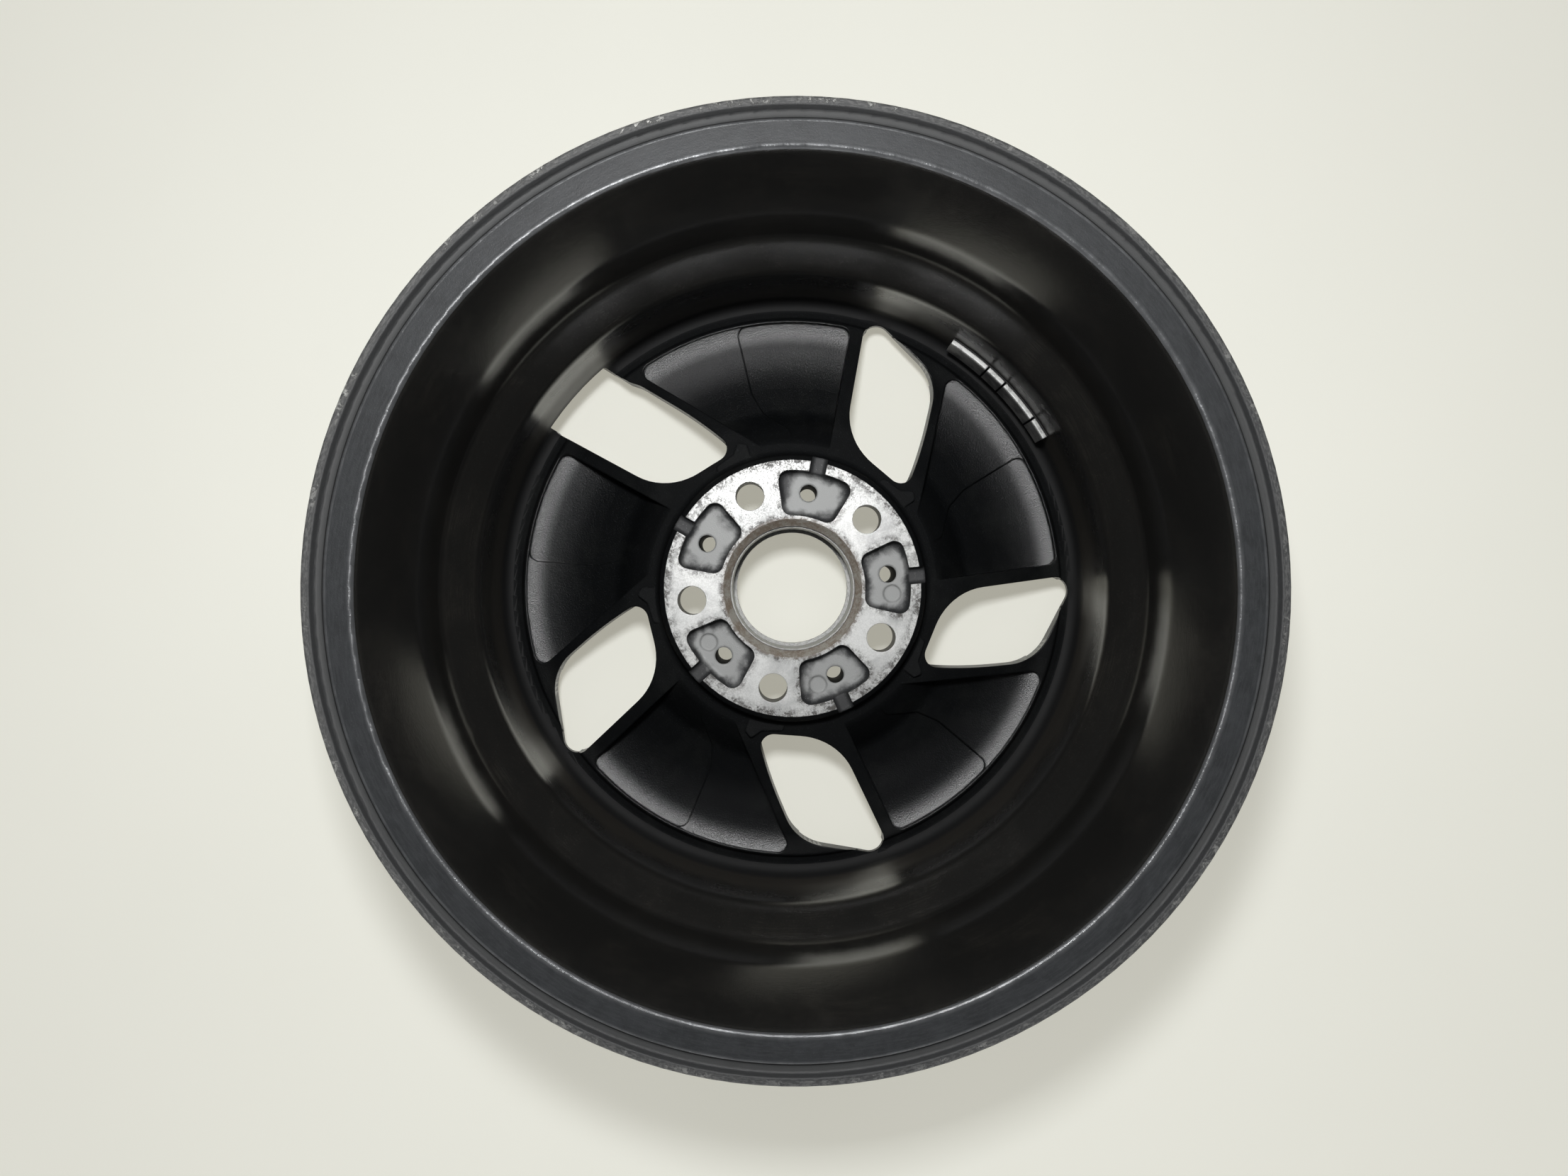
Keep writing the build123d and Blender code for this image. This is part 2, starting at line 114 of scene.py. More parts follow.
LIP_FILM = (0.17, 0.17, 0.165, 1.0)
KERBED_METAL = (0.42, 0.42, 0.40, 1.0)
PAD_SMEARED = (0.40, 0.405, 0.40, 1.0)
PAD_STREAKS = (0.33, 0.33, 0.32, 1.0)
PAD_DIRT = (0.07, 0.066, 0.06, 1.0)
PAD_RUST = (0.17, 0.14, 0.115, 1.0)
POCKET_BARE = (0.30, 0.305, 0.30, 1.0)
POCKET_SHADE_DARK = (0.030, 0.031, 0.032, 1.0)
POCKET_GRAINS = (0.5, 0.5, 0.5, 1.0)
CHAMFER_BEIGE = (0.44, 0.42, 0.37, 1.0)
CHAMFER_RUST = (0.20, 0.155, 0.115, 1.0)
CHAMFER_STREAKS = (0.30, 0.28, 0.25, 1.0)
CHAMFER_FOOT_SHADE = (0.03, 0.022, 0.018, 1.0)
BORE_METAL = (0.30, 0.30, 0.29, 1.0)
BOLT_HOLE_METAL = (0.10, 0.10, 0.095, 1.0)
BORE_STREAKS = (0.08, 0.08, 0.075, 1.0)
WEIGHT_CLEAN = (0.42, 0.42, 0.41, 1.0)
WEIGHT_WORN = (0.2, 0.2, 0.2, 1.0)
FOAM_DARK = (0.02, 0.02, 0.02, 1.0)
FOAM_GRAINS = (0.05, 0.05, 0.05, 1.0)
FLOOR_PALE = (0.61, 0.62, 0.59, 1.0)
FLOOR_SHADED = (0.59, 0.60, 0.57, 1.0)
FLOOR_GLOW = (1.0, 0.97, 0.82, 1.0)
STUDIO_AIR = (0.97, 0.98, 1.0, 1.0)

# What dust adds to a paint's colour; in the barrel it is raised deeper down, where it also paints in light
# that the deep well lacks
PAINT_DUST = (0.005, 0.0052, 0.0045)
BARREL_DUST_AND_FILL = (0.022, 0.019, 0.015)

# The photograph's camera: its turn about the wheel's axis, where it stands, and its lens
PHOTO_WIDTH = 2212
SENSOR_WIDTH = 36.0
CAMERA_TURN = radians(-24.9)
CAMERA_HEIGHT = 0.719
CAMERA_RIGHT = -0.0076
CAMERA_UP = 0.0071
LENS_PIXELS = 1715
AXIS_PIXEL_LEFT = 6.0
AXIS_PIXEL_UP = 16.5
CLIP_START = 0.01
PICTURE_RIGHT = Vector((sin(CAMERA_TURN), -cos(CAMERA_TURN), 0))
PICTURE_UP = Vector((cos(CAMERA_TURN), sin(CAMERA_TURN), 0))

# The stage: half the floor's side, how much it glows, and the light from all round
FLOOR_HALF = 4.0
FLOOR_GLOW_STRENGTH = 0.38
STUDIO_STRENGTH = 0.12

# Lamps: name, width, length, power, and the place: right and up in the picture, and height
LAMPS = (
    ("flash", 0.09, 0.09, 4.6, -0.035, 0.19, 0.78),
    ("ceiling_left", 0.7, 0.5, 3.6, -1.2, 1.6, 1.1),
    ("ceiling_right", 0.7, 0.5, 3.6, 1.2, 1.6, 1.1),
    ("overhead", 1.2, 1.2, 1.2, 0.0, 1.6, 2.2),
    ("low_left", 0.60, 0.16, 3.2, -0.85, -1.55, 0.56),
    ("low_middle", 0.60, 0.16, 3.2, -0.12, -1.75, 0.56),
    ("low_right", 0.50, 0.16, 3.0, 0.52, -1.70, 0.56),
    ("low_far_right", 0.4, 0.16, 2.2, 1.05, -1.45, 0.56),
)

Polar = namedtuple("Polar", "radius height direction")


class Sockets:
    """Short names for the nodes and links of one node tree."""

    def __init__(self, tree):
        self.tree = tree

    def add(self, kind, inputs=None, **settings):
        node = self.tree.nodes.new(kind)
        for name, value in settings.items():
            setattr(node, name, value)
        for name, value in (inputs or {}).items():
            self.put(value, node.inputs[name])
        return node

    def put(self, value, socket):
        if isinstance(value, bpy.types.NodeSocket):
            self.tree.links.new(value, socket)
        else:
            socket.default_value = value

    def group(self, name, **inputs):
        """Outputs of a shared group; its inputs are named with underscores for spaces."""
        values = {label.replace("_", " "): value for label, value in inputs.items()}
        return self.add("ShaderNodeGroup", values, node_tree=bpy.data.node_groups[name]).outputs

    def place(self):
        return self.add("ShaderNodeTexCoord").outputs["Object"]

    def split(self, vector):
        return self.add("ShaderNodeSeparateXYZ", {"Vector": vector}).outputs

    def join(self, x, y, z=0.0):
        return self.add("ShaderNodeCombineXYZ", {"X": x, "Y": y, "Z": z}).outputs[0]

    def scaled(self, vector, factors):
        node = self.add("ShaderNodeVectorMath", {0: vector, 1: factors}, operation="MULTIPLY")
        return node.outputs["Vector"]

    def math(self, operation, first, second=0.0, third=0.0, clamp=False):
        inputs = {0: first, 1: second, 2: third}
        return self.add("ShaderNodeMath", inputs, operation=operation, use_clamp=clamp).outputs[0]

    def times(self, first, second, plus=None, clamp=False):
        """Product of two values, to which a third may be added."""
        if plus is None:
            return self.math("MULTIPLY", first, second, clamp=clamp)
        return self.math("MULTIPLY_ADD", first, second, plus, clamp)

    def highest(self, first, *others):
        for other in others:
            first = self.math("MAXIMUM", first, other)
        return first

    def mix(self, share, first, second):
        node = self.add("ShaderNodeMix", data_type="RGBA", blend_type="MIX", clamp_factor=True)
        self.put(share, node.inputs[0])
        self.put(first, node.inputs[6])
        self.put(second, node.inputs[7])
        return node.outputs[2]

    def cover(self, tint, colour, mask, share=None):
        """The tint with a colour over it where the mask is high, by a share of the mask."""
        if share is not None:
            mask = self.times(mask, share)
        return self.mix(mask, tint, colour)

    def band(self, value, low, high, start=0.0, end=1.0):
        """A soft change from start to end while the value runs from low to high."""
        node = self.add(
            "ShaderNodeMapRange",
            {"Value": value, "From Min": low, "From Max": high, "To Min": start, "To Max": end},
            interpolation_type="SMOOTHSTEP",
        )
        return node.outputs[0]

    def noise(self, place, scale, detail, rough, distortion=0.0):
        inputs = {
            "Vector": place,
            "Scale": scale,
            "Detail": detail,
            "Roughness": rough,
            "Distortion": distortion,
        }
        return self.add("ShaderNodeTexNoise", inputs).outputs["Fac"]


def new_group(name, inputs, outputs):
    """An empty shader group with number sockets: inputs by name with their defaults, outputs by name."""
    group = bpy.data.node_groups.new(name, "ShaderNodeTree")
    for label, default in inputs.items():
        socket = group.interface.new_socket(name=label, in_out="INPUT", socket_type="NodeSocketFloat")
        socket.default_value = default
    for label in outputs:
        group.interface.new_socket(name=label, in_out="OUTPUT", socket_type="NodeSocketFloat")
    given = group.nodes.new("NodeGroupInput").outputs
    wanted = group.nodes.new("NodeGroupOutput").inputs
    return Sockets(group), given, wanted


def polar_place(nodes):
    """Radius about the wheel's axis, height along it, and the level direction away from it."""
    parts = nodes.split(nodes.place())
    flat = nodes.join(parts["X"], parts["Y"])
    radius = nodes.add("ShaderNodeVectorMath", {0: flat}, operation="LENGTH").outputs["Value"]
    direction = nodes.add("ShaderNodeVectorMath", {0: flat}, operation="NORMALIZE").outputs["Vector"]
    return Polar(radius, parts["Z"], direction)


def make_rim_ticks():
    """Short marks across a rolled edge: they change along the rim only."""
    inputs = {"Spacing": 0.0012, "Evenness": 0.5}
    nodes, given, wanted = new_group("rim_ticks", inputs, ("Height", "Patches"))
    ring = nodes.scaled(polar_place(nodes).direction, (LIP_R,) * 3)
    scale = nodes.math("DIVIDE", 1.0, given["Spacing"])
    fine = nodes.noise(ring, scale, detail=1.0, rough=0.5)
    broad = nodes.noise(ring, nodes.times(scale, 0.12), detail=3.0, rough=0.6)
    nodes.put(nodes.times(broad, given["Evenness"], plus=fine), wanted["Height"])
    nodes.put(nodes.band(broad, 0.42, 0.60), wanted["Patches"])


def make_pocket_edge():
    """How near a point of the mounting pad is to the wall of its pocket: 0 in the middle, 1 at the wall."""
    nodes, _, wanted = new_group("pocket_edge", {}, ("Nearness",))
    polar = polar_place(nodes)
    parts = nodes.split(polar.direction)
    turn = nodes.math("ARCTAN2", parts["Y"], parts["X"])
    half_pitch = pi / BOLT_COUNT
    turn = nodes.math("WRAP", nodes.math("SUBTRACT", turn, POCKET_TURN), half_pitch, -half_pitch)
    along = nodes.math("ABSOLUTE", nodes.times(turn, POCKET_MIDDLE_R / POCKET_HALF_LENGTH))
    across = nodes.math("SUBTRACT", polar.radius, POCKET_MIDDLE_R)
    across = nodes.math("ABSOLUTE", nodes.math("DIVIDE", across, POCKET_HALF_WIDTH))
    along, across = (nodes.math("POWER", value, POCKET_SQUARENESS) for value in (along, across))
    nearness = nodes.math("POWER", nodes.math("ADD", along, across), 1 / POCKET_SQUARENESS)
    nodes.put(nearness, wanted["Nearness"])


def make_cast_grain():
    """Rough sand-like skin of painted casting: a height and a mask of bright grains."""
    inputs = {"Grain Size": 0.0008, "Softness": 0.5}
    nodes, given, wanted = new_group("cast_grain", inputs, ("Height", "Sparkle"))
    place = nodes.place()
    scale = nodes.math("DIVIDE", 1.0, given["Grain Size"])
    fine = nodes.noise(place, scale, detail=3.0, rough=0.6)
    broad = nodes.noise(place, nodes.times(scale, 0.22), detail=2.0, rough=0.5)
    nodes.put(nodes.times(broad, given["Softness"], plus=fine), wanted["Height"])
    nodes.put(nodes.band(fine, 0.60, 0.74), wanted["Sparkle"])


def make_turning_marks():
    """Fine circles that a cutting tool leaves: they follow radius and height, and seldom break."""
    inputs = {"Spacing": 0.0004, "Breaks": 0.3}
    nodes, given, wanted = new_group("turning_marks", inputs, ("Height", "Streaks"))
    polar = polar_place(nodes)
    turn = nodes.split(nodes.scaled(polar.direction, (0.012, 0.012, 0.0)))
    rise = nodes.times(polar.height, 0.7, plus=polar.radius)
    breaks = (nodes.times(turn[axis], given["Breaks"]) for axis in "XY")
    lined = nodes.join(rise, *breaks)
    scale = nodes.math("DIVIDE", 1.0, given["Spacing"])
    lines = nodes.noise(lined, scale, detail=2.0, rough=0.7)
    nodes.put(lines, wanted["Height"])
    nodes.put(nodes.band(lines, 0.42, 0.62), wanted["Streaks"])


def make_blotches():
    """Patches with ragged edges, as where paint has chipped or dirt has stayed."""
    inputs = {"Size": 0.02, "Share": 0.5, "Edge": 0.05, "Raggedness": 0.7}
    nodes, given, wanted = new_group("blotches", inputs, ("Mask",))
    scale = nodes.math("DIVIDE", 1.0, given["Size"])
    patches = nodes.noise(nodes.place(), scale, detail=7.0, rough=given["Raggedness"], distortion=0.3)
    middle = nodes.math("SUBTRACT", 1.0, given["Share"])
    low = nodes.math("SUBTRACT", middle, given["Edge"])
    high = nodes.math("ADD", middle, given["Edge"])
    nodes.put(nodes.band(patches, low, high), wanted["Mask"])


def new_material(name, **constants):
    """A material with one Principled shader, whose constant sockets are set directly."""
    material = bpy.data.materials.new(name)
    material.use_nodes = True
    shader = material.node_tree.nodes["Principled BSDF"]
    for label, value in constants.items():
        shader.inputs[label.replace("_", " ")].default_value = value
    return material, Sockets(material.node_tree), shader.inputs


def full_cover(colour, dust=(0.0, 0.0, 0.0)):
    """A colour as a shader takes it, with what dust adds to it."""
    return (*(own + added for own, added in zip(colour, dust)), 1.0)


def bump(nodes, surface, height, distance, strength, rounding=None):
    """Relief from a height, over edges rounded off by a radius; gives back the normal."""
    inputs = {"Height": height, "Distance": distance, "Strength": strength}
    if rounding is not None:
        inputs["Normal"] = nodes.add("ShaderNodeBevel", {"Radius": rounding}, samples=6).outputs["Normal"]
    normal = nodes.add("ShaderNodeBump", inputs).outputs["Normal"]
    nodes.put(normal, surface["Normal"])
    return normal


def back_paint(colour):
    """Satin black paint on the spokes' backs: fine sparkle, more gloss at the bays' ends, a dull hub."""
    material, nodes, surface = new_material("satin_paint", Specular_IOR_Level=0.13, Coat_Roughness=0.28)
    radius = polar_place(nodes).radius
    skin = nodes.group("cast_grain", Grain_Size=0.0008, Softness=0.25)
    dirt = nodes.group("blotches", Size=0.05, Share=0.42, Edge=0.12)
    tint = nodes.mix(dirt["Mask"], full_cover(colour), full_cover(colour, PAINT_DUST))
    nodes.put(nodes.cover(tint, PAINT_GRAINS, skin["Sparkle"], 0.7), surface["Base Color"])
    shoulder = nodes.band(radius, SHOULDER_R - 0.0045, SHOULDER_R - 0.0010)
    dull = nodes.highest(shoulder, nodes.band(radius, HUB_DULL_R + 0.016, HUB_DULL_R))
    bay_end = nodes.band(radius, SHOULDER_R - 0.018, SHOULDER_R - 0.006)
    nodes.put(nodes.times(bay_end, nodes.math("SUBTRACT", 1.0, dull)), surface["Coat Weight"])
    rough = nodes.band(skin["Sparkle"], 0.0, 1.0, 0.32, 0.22)
    nodes.put(nodes.times(dull, 0.34, plus=rough), surface["Roughness"])
    normal = bump(nodes, surface, skin["Height"], 0.00026, 0.7, rounding=0.0014)
    nodes.put(normal, surface["Coat Normal"])
    return material


def outside_paint():
    """Plain satin black paint on the front and on the barrel's outside, a little dusty."""
    material, nodes, surface = new_material("outside_paint", Specular_IOR_Level=0.5)
    skin = nodes.group("cast_grain", Grain_Size=0.0007, Softness=0.3)
    dirt = nodes.group("blotches", Size=0.06, Share=0.45, Edge=0.15)
    nodes.put(nodes.mix(dirt["Mask"], OUTSIDE_CLEAN, OUTSIDE_DUSTY), surface["Base Color"])
    nodes.put(nodes.band(dirt["Mask"], 0.0, 1.0, 0.33, 0.45), surface["Roughness"])
    bump(nodes, surface, skin["Height"], 0.00008, 0.5, rounding=0.0010)
    return material


def barrel_paint(colour):
    """Glossy black paint inside the barrel: dusty and duller in the well, with more dust deeper down that
    also paints in fill light, and painted shade with duller paint at its foot.
    """
    material, nodes, surface = new_material("barrel_paint", Specular_IOR_Level=0.5)
    height = polar_place(nodes).height
    dirt = nodes.group("blotches", Size=0.05, Share=0.42, Edge=0.16)
    lines = nodes.group("turning_marks", Spacing=0.0011, Breaks=0.5)
    skin = nodes.group("cast_grain", Grain_Size=0.0007, Softness=0.4)
    well = nodes.band(height, WELL_TOP_Z, WELL_TOP_Z - 0.012)
    low_well = nodes.band(height, 0.0, WELL_TOP_Z - 0.040)
    # The well's foot: painted shade in its colour, and duller paint.
    foot = nodes.band(height, WELL_FOOT_Z + 0.020, WELL_FOOT_Z + 0.010)
    dust = nodes.times(dirt["Mask"], nodes.times(lines["Streaks"], 0.6, plus=0.4))
    dust = nodes.times(dust, nodes.times(well, 0.6, plus=0.4))
    dust = nodes.times(skin["Sparkle"], 0.5, plus=dust)
    # More dust deeper in the well, which also brightens the deep, shaded well as painted fill light.
    deep_dust_and_fill = nodes.times(nodes.band(height, 0.004, -0.030), 1.4)
    dust = nodes.math("ADD", dust, deep_dust_and_fill, clamp=True)
    tint = nodes.mix(dust, full_cover(colour), full_cover(colour, BARREL_DUST_AND_FILL))
    nodes.put(nodes.cover(tint, WELL_FOOT_SHADE, foot), surface["Base Color"])
    rough = nodes.times(well, 0.14, plus=0.12)
    for place, added in ((low_well, 0.16), (foot, 0.34), (dirt["Mask"], 0.06)):
        rough = nodes.times(place, added, plus=rough)
    nodes.put(rough, surface["Roughness"])
    relief = nodes.times(nodes.times(lines["Height"], well), 0.8, plus=skin["Height"])
    bump(nodes, surface, relief, 0.00006, 0.6, rounding=0.0070)
    return material


def flange_paint():
    """Cloudy dark paint on the flange's face: a grey groove beside the lip with painted shade over its lip
    side and along its corners, and rubbed edges whose bare metal also paints highlights on the mouth and
    the ridge.
    """
    material, nodes, surface = new_material("flange_paint")
    radius = polar_place(nodes).radius
    lines = nodes.group("turning_marks", Spacing=0.0009, Breaks=2.0)
    skin = nodes.group("cast_grain", Grain_Size=0.0006, Softness=0.5)
    ticks = nodes.group("rim_ticks", Spacing=0.0014, Evenness=0.6)
    cloud = nodes.group("blotches", Size=0.012, Share=0.5, Edge=0.25)
    groove = nodes.band(radius, FACE_OUT_R - 0.0002, FACE_OUT_R + 0.0010)
    # Painted shade over the groove's side by the lip, and thin lines of painted shade at both of its
    # corners.
    shade = nodes.band(radius, FACE_OUT_R + 0.0030, GROOVE_OUT_R - 0.0010, 0.0, 0.75)
    inner_shade_line = nodes.math("COMPARE", radius, FACE_OUT_R + 0.0009, SHADE_LINE_HALF_WIDTH)
    outer_shade_line = nodes.math("COMPARE", radius, GROOVE_OUT_R - 0.0004, SHADE_LINE_HALF_WIDTH)
    edge = nodes.band(radius, MOUTH_R + 0.0034, MOUTH_R + 0.0010)
    ridge = nodes.times(nodes.band(radius, FACE_OUT_R - 0.0014, FACE_OUT_R - 0.0005), 0.8)
    rolled = nodes.highest(edge, nodes.math("SUBTRACT", ridge, groove, clamp=True))
    # Bare metal where the rolled edges are rubbed; this lighter band also paints the highlights along the
    # mouth and the ridge.
    rub_and_highlight = nodes.times(rolled, nodes.times(ticks["Patches"], 0.5, plus=0.5))
    tint = nodes.mix(cloud["Mask"], FLANGE_DARK, FLANGE_PALE)
    tint = nodes.cover(tint, FLANGE_GRAINS, skin["Sparkle"], 0.5)
    tint = nodes.cover(tint, FLANGE_STREAKS, lines["Streaks"], 0.35)
    tint = nodes.cover(tint, GROOVE_GREY, groove, 0.6)
    tint = nodes.cover(tint, GROOVE_SHADE_BLACK, shade)
    tint = nodes.cover(tint, GROOVE_SHADE_BLACK, nodes.highest(inner_shade_line, outer_shade_line))
    nodes.put(nodes.cover(tint, RUBBED_METAL_HIGHLIGHT, rub_and_highlight, 0.6), surface["Base Color"])
    nodes.put(nodes.times(rub_and_highlight, 0.5), surface["Metallic"])
    rough = nodes.times(groove, 0.15, plus=nodes.times(rolled, -0.15, plus=0.42))
    nodes.put(rough, surface["Roughness"])
    relief = nodes.times(nodes.times(ticks["Height"], rolled), 1.6, plus=skin["Height"])
    bump(nodes, surface, relief, 0.00010, 0.6, rounding=0.0018)
    return material


def scuffed_lip():
    """Dull dark lip with a grey film along its crown, and bare patches on the side that met the kerb."""
    material, nodes, surface = new_material("scuffed_lip")
    polar = polar_place(nodes)
    lines = nodes.group("turning_marks", Spacing=0.0008, Breaks=6.0)
    ticks = nodes.group("rim_ticks", Spacing=0.0045, Evenness=1.2)
    chips = nodes.group("blotches", Size=0.005, Share=0.44, Edge=0.03, Raggedness=0.75)
    parts = nodes.split(polar.direction)
    facing = nodes.times(parts["X"], 0.72, plus=nodes.times(parts["Y"], 0.69))
    kerbed = nodes.band(facing, -0.3, 0.8, 0.45, 1.0)
    patch = nodes.times(nodes.times(ticks["Patches"], chips["Mask"]), kerbed)
    patch = nodes.times(patch, nodes.band(polar.radius, GROOVE_OUT_R + 0.0002, LIP_R - 0.0028))
    film = nodes.times(lines["Streaks"], 0.35, plus=nodes.times(kerbed, 0.25))
    crown = nodes.band(polar.radius, GROOVE_OUT_R - 0.0006, LIP_R - 0.0022)
    film = nodes.times(film, nodes.math("ADD", crown, 0.1))
    tint = nodes.cover(nodes.mix(film, LIP_DARK, LIP_FILM), KERBED_METAL, patch)
    nodes.put(tint, surface["Base Color"])
    nodes.put(nodes.times(patch, 0.6), surface["Metallic"])
    nodes.put(nodes.times(patch, -0.12, plus=0.55), surface["Roughness"])
    relief = nodes.math("SUBTRACT", nodes.times(lines["Height"], 0.4), patch)
    bump(nodes, surface, relief, 0.0005, 0.7, rounding=0.0010)
    return material


def machined_pad(colour):
    """Bare turned metal with smears, and dirt and rust at its rim, its foot and its pockets' walls."""
    material, nodes, surface = new_material("machined_pad")
    radius = polar_place(nodes).radius
    lines = nodes.group("turning_marks", Spacing=0.0008, Breaks=5.0)
    smears = nodes.group("blotches", Size=0.030, Share=0.48, Edge=0.12)
    spots = nodes.group("blotches", Size=0.005, Share=0.49, Edge=0.04, Raggedness=0.8)
    near = nodes.group("pocket_edge")["Nearness"]
    rim = nodes.times(nodes.band(radius, PAD_R - 0.0075, PAD_R - 0.0010), 0.9)
    foot = nodes.band(radius, CHAMFER_R + 0.0050, CHAMFER_R + 0.0004)
    wall = nodes.band(near, 1.30, 1.02)
    ragged = nodes.math("ADD", spots["Mask"], nodes.times(lines["Streaks"], 0.4))
    dirt = nodes.times(ragged, nodes.highest(rim, foot, wall))
    dirt = nodes.times(dirt, nodes.times(smears["Mask"], 0.7, plus=0.5), clamp=True)
    stain = nodes.band(spots["Mask"], 0.2, 0.8, 0.35, 1.0)
    rust = nodes.times(nodes.band(radius, CHAMFER_R + 0.0022, CHAMFER_R), stain)
    tint = nodes.mix(smears["Mask"], full_cover(colour), PAD_SMEARED)
    tint = nodes.cover(tint, PAD_STREAKS, lines["Streaks"], 0.25)
    tint = nodes.cover(tint, PAD_DIRT, dirt)
    nodes.put(nodes.cover(tint, PAD_RUST, rust), surface["Base Color"])
    covered = nodes.math("ADD", dirt, rust, clamp=True)
    nodes.put(nodes.times(covered, -0.32, plus=0.35), surface["Metallic"])
    nodes.put(nodes.band(lines["Streaks"], 0.0, 1.0, 0.38, 0.52), surface["Roughness"])
    bump(nodes, surface, lines["Height"], 0.00010, 0.5, rounding=0.0006)
    return material


def blasted_pocket():
    """Cast floor of the pad's pockets: pale middles and ejector discs, with painted shade along the walls
    and the rim.
    """
    material, nodes, surface = new_material("blasted_pocket", Roughness=0.55)
    polar = polar_place(nodes)
    skin = nodes.group("cast_grain", Grain_Size=0.0008, Softness=0.6)
    cloud = nodes.group("blotches", Size=0.014, Share=0.5, Edge=0.2, Raggedness=0.6)
    near = nodes.group("pocket_edge")["Nearness"]
    # Painted shade along the pocket's walls and its outer rim, its edge made ragged by the cloud.
    dark = nodes.times(nodes.math("SUBTRACT", cloud["Mask"], 0.5), 0.35, plus=near)
    dark = nodes.band(dark, 0.62, 1.02)
    disc = nodes.band(polar.height, DISC_TOP_Z, DISC_FLOOR_Z)
    dark = nodes.times(dark, nodes.times(disc, -0.8, plus=1.0))
    dark = nodes.highest(dark, nodes.band(polar.radius, PAD_R - 0.0080, PAD_R - 0.0015, 0.0, 0.85))
    tint = nodes.mix(dark, POCKET_BARE, POCKET_SHADE_DARK)
    nodes.put(nodes.cover(tint, POCKET_GRAINS, skin["Sparkle"], 0.25), surface["Base Color"])
    nodes.put(nodes.band(dark, 0.0, 1.0, 0.45, 0.1), surface["Metallic"])
    bump(nodes, surface, skin["Height"], 0.0002, 0.5, rounding=0.0020)
    return material


def rusty_chamfer():
    """The bore's chamfer, beige with rust and a thin line of painted shade at its foot."""
    material, nodes, surface = new_material("rusty_chamfer", Roughness=0.6)
    stain = nodes.group("blotches", Size=0.007, Share=0.5, Edge=0.1, Raggedness=0.8)
    lines = nodes.group("turning_marks", Spacing=0.0007, Breaks=6.0)
    # A thin line of painted shade where the chamfer meets the bore.
    foot_shade = nodes.band(polar_place(nodes).radius, BORE_R + 0.0013, BORE_R + 0.0006)
    tint = nodes.mix(stain["Mask"], CHAMFER_BEIGE, CHAMFER_RUST)
    tint = nodes.cover(tint, CHAMFER_STREAKS, lines["Streaks"], 0.4)
    nodes.put(nodes.cover(tint, CHAMFER_FOOT_SHADE, foot_shade), surface["Base Color"])
    nodes.put(nodes.band(stain["Mask"], 0.0, 1.0, 0.3, 0.0), surface["Metallic"])
    bump(nodes, surface, stain["Mask"], 0.0002, 0.5)
    return material


def bored_wall(name, colour):
    """Wall of a machined hole, with the tool's marks."""
    material, nodes, surface = new_material(name, Metallic=0.5, Roughness=0.45)
    lines = nodes.group("turning_marks", Spacing=0.0006, Breaks=0.8)
    nodes.put(nodes.cover(colour, BORE_STREAKS, lines["Streaks"], 0.5), surface["Base Color"])
    bump(nodes, surface, lines["Height"], 0.00008, 0.4)
    return material


def weight_metal():
    """Dull metal of the balance weights, worn in patches."""
    material, nodes, surface = new_material("weight_metal", Metallic=0.7, Roughness=0.45)
    worn = nodes.group("blotches", Size=0.01, Share=0.45, Edge=0.1)
    nodes.put(nodes.mix(worn["Mask"], WEIGHT_CLEAN, WEIGHT_WORN), surface["Base Color"])
    bump(nodes, surface, worn["Mask"], 0.0001, 0.4, rounding=0.0008)
    return material


def foam_tape():
    """Matt black foam under the balance weights."""
    material, nodes, surface = new_material("foam_tape", Roughness=0.8)
    skin = nodes.group("cast_grain", Grain_Size=0.0005, Softness=0.3)
    nodes.put(nodes.mix(skin["Sparkle"], FOAM_DARK, FOAM_GRAINS), surface["Base Color"])
    return material


def pick_region(centre, normal):
    """Name of the finish at a face of the casting, from the face's middle and outward direction."""
    place = Vector((centre.x, centre.y))
    radius, height = place.length, centre.z
    outward = (normal.x * centre.x + normal.y * centre.y) / radius if radius else 0.0
    bolt_turns = (2 * pi * number / BOLT_COUNT for number in range(BOLT_COUNT))
    bolt_places = (BOLT_CIRCLE_R * Vector((cos(turn), sin(turn))) for turn in bolt_turns)
    bolt_gap = min((place - bolt_place).length for bolt_place in bolt_places)
    if radius > LIP_IN_R and height > LIP_FOOT_Z:
        return "lip"
    if radius > FACE_IN_R and height > FACE_FOOT_Z and normal.z > FACE_UP:
        return "flange_face"
    if CHAMFER_R - SLACK < radius < PAD_R and height > PAD_TOP_Z and normal.z > PAD_UP:
        return "pad"
    if bolt_gap < BOLT_WELL_R and BOLT_WELL_Z < height < 0.0:
        return "bolt_hole"
    if BORE_R < radius < CHAMFER_R + SLACK and height > CHAMFER_FOOT_Z:
        return "chamfer"
    if radius < BORE_EDGE_R and height > BORE_FOOT_Z:
        return "bore"
    if PAD_EDGE_R < radius < PAD_OUT_R and outward > PAD_EDGE_OUT:
        return "paint"
    if radius < PAD_OUT_R and height > POCKET_FLOOR_Z:
        return "pocket" if radius > CHAMFER_R else "bore"
    if radius > SHOULDER_R and height > WELL_FOOT_Z and outward < BARREL_OUT and normal.z > BARREL_UP:
        return "barrel"
    in_hollow = radius > HOLLOW_R and height < HOLLOW_TOP_Z and normal.z < HOLLOW_UP
    return "outside" if in_hollow or radius > OUTSIDE_R or normal.z < FRONT_UP else "paint"


